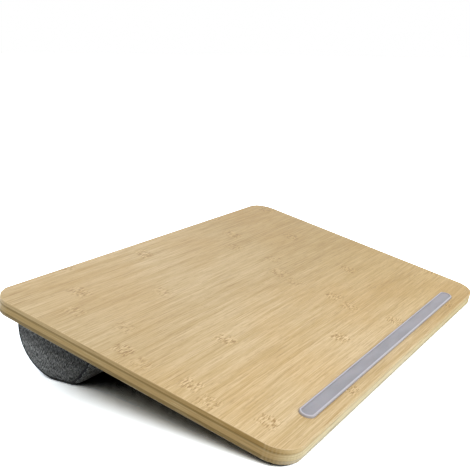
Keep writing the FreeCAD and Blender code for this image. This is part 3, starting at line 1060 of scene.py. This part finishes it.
def new_piece(name, shape, material, replaced=(), smooth=True):
    """A mesh piece from a shape's roll-frame points and faces, which rides on the desk."""
    points, faces = shape
    mesh = bpy.data.meshes.new(name)
    mesh.from_pydata([tuple(p) for p in roll_to_part(points)], [], faces)
    mesh.update()
    face_outwards(mesh)
    mesh.materials.append(material)
    mesh.polygons.foreach_set("use_smooth", [smooth] * len(mesh.polygons))
    piece = bpy.data.objects.new(name, mesh)
    bpy.context.collection.objects.link(piece)
    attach(piece, BASE)
    if replaced:
        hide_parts(*replaced)
    return piece


def sewn(piece):
    """Smooths a cloth panel and gives it thickness inwards."""
    smoother = piece.modifiers.new("smooth", "SUBSURF")
    smoother.levels = smoother.render_levels = 1
    smoother.boundary_smooth = "PRESERVE_CORNERS"
    shell = piece.modifiers.new("thickness", "SOLIDIFY")
    shell.thickness = CLOTH_THICK * MM
    shell.offset = -1.0


def panel(name, cells, material, replaced):
    """A panel from cells of the tube's grid, each (column, row)."""
    used, points, faces = {}, [], []
    for column, row in cells:
        face = []
        for key in ((column, row), (column, row + 1), (column + 1, row + 1), (column + 1, row)):
            key = (key[0], key[1] % COUNT)
            if key not in used:
                used[key] = len(points)
                points.append(TUBE[key])
            face.append(used[key])
        faces.append(face)
    sewn(new_piece(name, (points, faces), material, replaced))


def beyond_window(column):
    """True for a cell that lies past the ends of the zip's window."""
    middle = (COLUMNS[column] + COLUMNS[column + 1]) / 2
    return abs(middle) > WINDOW_X


def make_panels():
    """The cover's round side, with the zip's window open in it, and its flat top."""
    columns = range(len(COLUMNS) - 1)
    body = [(c, r) for c in columns for r in range(ZIP_HIGH) if r < ZIP_LOW or beyond_window(c)]
    top = [(c, r) for c in columns for r in range(ZIP_HIGH, COUNT)]
    panel("cushion_cover_round", body, CLOTH_ROUND, ["cover_body_panel"])
    panel("cushion_cover_top", top, CLOTH_TOP, ["cover_top_panel"])


def make_end(side, word):
    """An end panel of the cover."""
    points = [*ENDS[side].reshape(-1, 3), MIDDLES[side]]
    faces = end_faces(range(0, END_RINGS * COUNT, COUNT), END_RINGS * COUNT, side)
    sewn(new_piece("cushion_end_" + word, (points, faces), CLOTH_END, ["cover_end_" + word]))


# The foam's half length, how far it lies inside the cloth and how far its ends swell, and its slot's floor
# and half height
CORE_X = 171.2
CORE_INSET = 1.7
CORE_DOME = 1.2
SLOT_FLOOR = 34.0
SLOT_REACH = 10.4


def core_tube():
    """The foam's round side, with its slot behind the zip."""
    inner = [column for column, x in enumerate(COLUMNS) if abs(x) < CORE_X]
    tube = TUBE[[inner[0] - 1, *inner, inner[-1] + 1]].copy()
    tube[:, :, 1:] -= CORE_INSET * ROWS[None, :, 2:]
    tube[:, :, 0] = np.clip(tube[:, :, 0], -CORE_X, CORE_X)
    in_slot = (tube[:, :, 1] > 0) & (np.abs(tube[:, :, 2]) < SLOT_REACH)
    tube[:, :, 1] = np.where(in_slot, np.minimum(tube[:, :, 1], SLOT_FLOOR), tube[:, :, 1])
    return tube


def make_core():
    """The foam, a little smaller than the cover."""
    points = core_tube().reshape(-1, 3).tolist()
    size = len(points)
    faces = []
    for start in range(0, size - COUNT, COUNT):
        faces += band(start, start + COUNT, COUNT, inward=True)
    for side, rim in ((-1, 0), (1, size - COUNT)):
        edge = np.array(points[rim:rim + COUNT])[:, 1:]
        outer = rim
        for ring in range(1, END_RINGS):
            share = ring / END_RINGS
            depth = side * (CORE_X + CORE_DOME * (1 - (1 - share) ** 2))
            faces += turned(band(outer, len(points), COUNT, inward=True), side < 0)
            outer = len(points)
            points += [[depth, *p] for p in edge * (1 - share) + END_CENTRE * share]
        faces += turned(fan(outer, COUNT, len(points)), side > 0)
        points.append([side * (CORE_X + CORE_DOME), *END_CENTRE])
    core = new_piece("cushion_filling", (points, faces), FOAM, ["cushion_foam"])


def piping_path(count):
    """Points and outward normals on the seam's line, evenly spaced by length."""
    fine_rows = np.arange(0, COUNT, 0.1)
    centre = outline(SEAM_X, PIPING_INSET)
    centre = off_floor(centre, PIPING_RADIUS + 0.02)
    low = fine_rows.astype(int)
    share = (fine_rows - low)[:, None]
    both = np.hstack([centre, ROWS[:, 2:]])
    fine = smooth_round(both[low] * (1 - share) + both[(low + 1) % COUNT] * share, 9)
    closed = np.vstack([fine, fine[:1]])
    arc = length_along(closed)
    wanted = np.linspace(0, arc[-1], count, endpoint=False)
    path = np.stack([np.interp(wanted, arc, closed[:, k]) for k in range(4)], 1)
    path[:, 2:] /= np.linalg.norm(path[:, 2:], axis=1, keepdims=True)
    return path, wanted


def smooth_round(rows, width):
    """A moving mean along a closed line, which takes the corners off its runs."""
    kernel = np.hanning(width + 2)[1:-1]
    kernel /= kernel.sum()
    wrapped = np.vstack([rows[-width:], rows, rows[:width]])
    soft = np.stack([np.convolve(column, kernel, mode="same") for column in wrapped.T], 1)
    return soft[width:-width]


# How many rings a round cord has along it, and how many points each ring has
PIPING_RINGS, PIPING_AROUND = 330, 14


def make_piping(side, word):
    """Covered cord in the seam: bias-cut cloth with faint slanting creases."""
    count, around = PIPING_RINGS, PIPING_AROUND
    path, arc = piping_path(count)
    points, faces = [], []
    for index, (y, z, ny, nz) in enumerate(path):
        for angle in angles(around):
            crease = 0.035 * math.sin(arc[index] * 1.5 + 2 * angle)
            crease += 0.03 * lump(arc[index] * 0.4, angle, side * 5.0)
            radius = PIPING_RADIUS * (0.95 + crease)
            out, over = radius * math.cos(angle), radius * math.sin(angle)
            points.append((side * PIPING_X + over, y + out * ny, z + out * nz))
    for index in range(count):
        faces += band(index * around, (index + 1) % count * around, around)
    new_piece("cushion_piping_" + word, (points, faces), PIPING, ["piping_" + word])


LEFT_AND_RIGHT = ((-1, "left"), (1, "right"))
make_panels()
for side, word in LEFT_AND_RIGHT:
    make_end(side, word)
make_core()
for side, word in LEFT_AND_RIGHT:
    make_piping(side, word)


# ---------------- zip

# The chain's middle behind the roll's axis, half the length of its tapes and of its teeth, and their spacing
CHAIN_Y = 37.116
TAPE_X = 166.0
CHAIN_X = 157.2
TOOTH_PITCH = 2.5
# A zip tape: its thickness, how far it stands out from the chain's middle, where its flat runs, and its cord
ZIP_TAPE_THICK = 0.5
ZIP_TAPE_OUT = 0.22
ZIP_TAPE_Z = (2.4, 9.7)
CORD_Z = 2.15
CORD_RADIUS = 0.56
# How many points the flat has along and across it, and the cord along and round it
ZIP_TAPE_GRID = (167, 7)
CORD_GRID = (420, 10)
# Half width along the chain, half thickness and reach of a tooth's sections, from its root to its tip
TOOTH = (
    (0.30, 0.86, 2.55), (0.60, 1.05, 2.35), (0.62, 1.08, 1.75), (0.47, 1.06, 1.45), (0.50, 1.04, 1.15),
    (0.70, 1.00, 0.88), (0.70, 0.92, 0.62), (0.50, 0.72, 0.44), (0.18, 0.4, 0.38),
)
# Each section's points, and the power that squares it off (1 is an ellipse)
TOOTH_AROUND = 12
TOOTH_POWER = 0.6


def cord(z):
    """A cord along X whose surface carries a twist."""
    steps, around = CORD_GRID
    points = []
    for x in np.linspace(-TAPE_X, TAPE_X, steps):
        for angle in angles(around):
            swell = CORD_RADIUS * (1 + 0.09 * math.sin(x * 3.4 + 2 * angle))
            points.append((x, CHAIN_Y + swell * math.cos(angle), z + swell * math.sin(angle)))
    return points, skin(steps, around, inward=True)


def tape_sheet(side):
    """The flat of a zip tape, in two layers of points."""
    xs = np.linspace(-TAPE_X, TAPE_X, ZIP_TAPE_GRID[0])
    zs = np.linspace(*ZIP_TAPE_Z, ZIP_TAPE_GRID[1])
    points, faces = [], []
    for depth in (0.0, ZIP_TAPE_THICK):
        for x in xs:
            for z in zs:
                wave = 0.12 * lump(x * 0.12, z * 0.3, side * 3.0)
                points.append((x, CHAIN_Y + ZIP_TAPE_OUT - abs(wave) - depth, side * z))
    rows = len(zs)
    size = len(xs) * rows
    for start in range(0, size - rows, rows):
        for row in range(start, start + rows - 1):
            for a, turn in ((row, side > 0), (size + row, side < 0)):
                faces += turned([(a, a + rows, a + rows + 1, a + 1)], turn)
        for a, turn in ((start, side > 0), (start + rows - 1, side < 0)):
            faces += turned([(a, a + rows, size + a + rows, size + a)], turn)
    for start, turn in ((0, side < 0), (size - rows, side > 0)):
        for a in range(start, start + rows - 1):
            faces += turned([(a, a + 1, size + a + 1, size + a)], turn)
    return points, faces


def make_zip_tape(side, word):
    """Woven tape with a corded edge that the teeth grip; its margin is sewn under the cover."""
    shape = merged([tape_sheet(side), cord(side * CORD_Z)])
    new_piece("zip_tape_woven_" + word, shape, TAPE, ["zip_tape_" + word])


def tooth(x, side):
    """One moulded tooth, with a root on the cord, a neck and a rounded head."""
    points = []
    for wide, thick, reach in TOOTH:
        for angle in angles(TOOTH_AROUND):
            c, s = math.cos(angle), math.sin(angle)
            px = x + wide * math.copysign(abs(c) ** TOOTH_POWER, c)
            py = CHAIN_Y + thick * math.copysign(abs(s) ** TOOTH_POWER, s)
            points.append((px, py, side * reach))
    return points, turned(skin(len(TOOTH), TOOTH_AROUND), side > 0)


def make_teeth(side, word):
    """A row of teeth, half a space from the other row."""
    count = int((2 * CHAIN_X - TOOTH_PITCH) // TOOTH_PITCH)
    first = -count * TOOTH_PITCH / 2 + side * TOOTH_PITCH / 4
    shape = merged(tooth(first + index * TOOTH_PITCH, side) for index in range(count + 1))
    new_piece("zip_teeth_moulded_" + word, shape, TEETH, ["zip_teeth_" + word])


def ease_edges(node, width):
    """Rounds a CAD node's sharp edges."""
    bevel = nodes[node].modifiers.new("eased", "BEVEL")
    bevel.width = width * MM
    bevel.segments = 3
    bevel.limit_method = "ANGLE"
    bevel.angle_limit = math.radians(40)


for side, word in ((-1, "lower"), (1, "upper")):
    make_zip_tape(side, word)
    make_teeth(side, word)
for node in ("zip_stop_left", "zip_stop_right", "zip_slider", "zip_pull"):
    give(node, METAL)
for node in ("zip_stop_left", "zip_stop_right"):
    ease_edges(node, 0.3)


# ---------------- stitches


def surface(column, row):
    """A point on the filled tube at fractional grid places, in roll-frame millimetres."""
    c0 = min(int(column), len(COLUMNS) - 2)
    r0 = int(math.floor(row))
    fc, fr = column - c0, row - r0
    r0, r1 = r0 % COUNT, (r0 + 1) % COUNT
    low = TUBE[c0, r0] * (1 - fr) + TUBE[c0, r1] * fr
    high = TUBE[c0 + 1, r0] * (1 - fr) + TUBE[c0 + 1, r1] * fr
    return low * (1 - fc) + high * fc


def outward(point):
    """The direction out of the roll's round side."""
    return np.array([0.0, point[1], point[2]]) / max(math.hypot(point[1], point[2]), 1e-6)


# Where a thread's sections lie, as shares of its length, and how many points each has
THREAD_SHARES = (0.0, 0.12, 0.5, 0.88, 1.0)
THREAD_AROUND = 6


def stitch(start, end, out, radius):
    """A short thread that dips into the cloth at both ends."""
    along = end - start
    length = np.linalg.norm(along)
    along = along / length
    aside = np.cross(along, out)
    points = []
    for share in THREAD_SHARES:
        rise = radius * (1.3 * math.sin(math.pi * share) - 0.6)
        girth = radius * (0.55 + 0.45 * math.sin(math.pi * share))
        middle = start + along * length * share + out * rise
        for angle in angles(THREAD_AROUND):
            points.append(middle + girth * (math.cos(angle) * aside + math.sin(angle) * out))
    return points, skin(len(THREAD_SHARES), THREAD_AROUND)


def column_at(x):
    """The fractional column at a place along the roll."""
    return float(np.interp(x, COLUMNS, np.arange(len(COLUMNS))))


def row_near(z, low, high):
    """The fractional row between two rows where the middle column's height is z."""
    middle = len(COLUMNS) // 2
    rows = np.linspace(low, high, 200)
    heights = np.array([surface(middle, r)[2] for r in rows])
    return float(rows[np.argmin(np.abs(heights - z))])


# Millimetres, apart from the end stitches' lengths and the seam's row, which are in rows of the tube's grid
THREAD_RADIUS = 0.26
STITCH, STITCH_SPACING = 3.0, 4.1
WINDOW_MARGIN = 2.2
SEAM_REACH = 168.0
# The zip pull runs over the stitches at the window's ends, so their thread is finer
END_THREAD = 0.12
END_STITCH, END_STITCH_ROOM, END_STITCH_SPACING = 1.3, 1.4, 1.8
SEAM_ROW = 1.6


def stitch_line(row, reach):
    """Stitches along X at one row, as far as reach to both sides."""
    shapes = []
    x = -reach
    while x + STITCH < reach:
        start = surface(column_at(x), row)
        shapes.append(stitch(start, surface(column_at(x + STITCH), row), outward(start), THREAD_RADIUS))
        x += STITCH_SPACING
    return shapes


def end_stitches(x, low, high):
    """Finer stitches across an end of the zip's window, between two rows."""
    shapes = []
    column = column_at(x)
    row = low
    while row + END_STITCH_ROOM < high:
        start = surface(column, row)
        end = surface(column, min(row + END_STITCH, high))
        shapes.append(stitch(start, end, outward(start), END_THREAD))
        row += END_STITCH_SPACING
    return shapes


def make_stitching():
    """The seams round the zip's window and behind the roll's front edge."""
    reach = WINDOW_X + WINDOW_MARGIN
    low = row_near(-WINDOW_Z - WINDOW_MARGIN, ZIP_LOW - 4, ZIP_LOW)
    high = row_near(WINDOW_Z + WINDOW_MARGIN, ZIP_HIGH, ZIP_HIGH + 2)
    shapes = stitch_line(low, reach) + stitch_line(high, reach)
    for x in (-reach, reach):
        shapes += end_stitches(x, low, high)
    shapes += stitch_line(SEAM_ROW, SEAM_REACH)
    new_piece("cushion_stitching", merged(shapes), THREAD)


make_stitching()


# ---------------- hook and loop tapes

# The tapes' half length, width and distance from the edges of the flat top
TAPE_HALF = 160.0
TAPE_WIDTH = 20.0
TAPE_MARGIN = 4.0
# The tapes' faces above the cover's flat top: the board's side, and where the hooks meet the loops
TAPE_TOP = 2.4
TAPE_JOIN = 1.2
# How many points a tape has along and across it
TAPE_GRID = (161, 15)
HOOK_BASE = 0.5
HOOK_SPACING_X = 2.2
HOOK_SPACING_Y = 1.8
HOOK_HALF, HOOK_TAPER = 0.13, 0.015
# A hook's bend, as how far it has gone out (in millimetres) and down (as a share of its length)
HOOK_PATH = ((0.0, 0.0), (0.0, 0.45), (0.12, 0.8), (0.34, 1.0), (0.5, 0.82))


def tape_middle(side):
    """The middle line of the front or back tapes."""
    flat, _ = turn_angle()
    return side * (flat - TAPE_MARGIN - TAPE_WIDTH / 2)


def ribbon(low_z, high_z, middle, rough, seed):
    """A tape with softly rounded edges and an uneven face, in two layers of points."""
    xs = np.linspace(-TAPE_HALF, TAPE_HALF, TAPE_GRID[0])
    ys = np.linspace(-TAPE_WIDTH / 2, TAPE_WIDTH / 2, TAPE_GRID[1])
    # Less than half the thickness, so that the two faces never meet at the edge
    most_ease = min(0.25, 0.36 * (high_z - low_z))
    points, faces = [], []
    for layer in (0, 1):
        for x in xs:
            for y in ys:
                edge = min(TAPE_WIDTH / 2 - abs(y), TAPE_HALF - abs(x))
                ease = most_ease * math.exp(-edge / 0.5)
                uneven = rough * lump(x * 0.9, y * 0.9, seed + layer)
                z = (high_z - ease + min(uneven, 0)) if layer else (low_z + ease + max(uneven, 0))
                points.append((x, middle + y, z))
    rows = len(ys)
    size = len(xs) * rows
    for column in range(len(xs) - 1):
        start = column * rows
        for a in range(start, start + rows - 1):
            b = a + rows
            faces += [(a, a + 1, b + 1, b), (size + a, size + b, size + b + 1, size + a + 1)]
        for a, turn in ((start, False), (start + rows - 1, True)):
            faces += turned([(a, a + rows, size + a + rows, size + a)], turn)
    for start, turn in ((0, True), (size - rows, False)):
        for a in range(start, start + rows - 1):
            faces += turned([(a, a + 1, size + a + 1, size + a)], turn)
    return points, faces


def hook(x, y, root, tip):
    """One little hook: a bent stem hanging from the tape's base."""
    points = []
    for index, (out, down) in enumerate(HOOK_PATH):
        half = HOOK_HALF - HOOK_TAPER * index
        z = root + (tip - root) * down
        for dx, dy in ((-half, -half), (half, -half), (half, half), (-half, half)):
            points.append((x + dx, y + out + dy, z))
    return points, skin(len(HOOK_PATH), 4, inward=True)


def make_tapes(side, word):
    """Hook tape under the board and loop tape on the cover, pressed together."""
    middle = tape_middle(side)
    top, join = ROLL_TOP + TAPE_TOP, ROLL_TOP + TAPE_JOIN
    shapes = [ribbon(top - HOOK_BASE, top, middle, 0.03, 3.0)]
    for x in np.arange(-TAPE_HALF + 1.5, TAPE_HALF - 1.0, HOOK_SPACING_X):
        for y in np.arange(-TAPE_WIDTH / 2 + 1.0, TAPE_WIDTH / 2 - 1.0, HOOK_SPACING_Y):
            shapes.append(hook(x, middle + y, top - HOOK_BASE + 0.05, join + 0.03))
    replaced = ["hook_tape_" + word]
    new_piece("hook_tape_nylon_" + word, merged(shapes), HOOKS, replaced, smooth=False)
    loops = ribbon(ROLL_TOP + 0.02, join, middle, 0.5, 8.0)
    new_piece("loop_tape_pile_" + word, loops, LOOPS, ["loop_tape_" + word])


for side, word in ((-1, "front"), (1, "back")):
    make_tapes(side, word)


view = bpy.context.scene.view_settings
view.view_transform = "Standard"
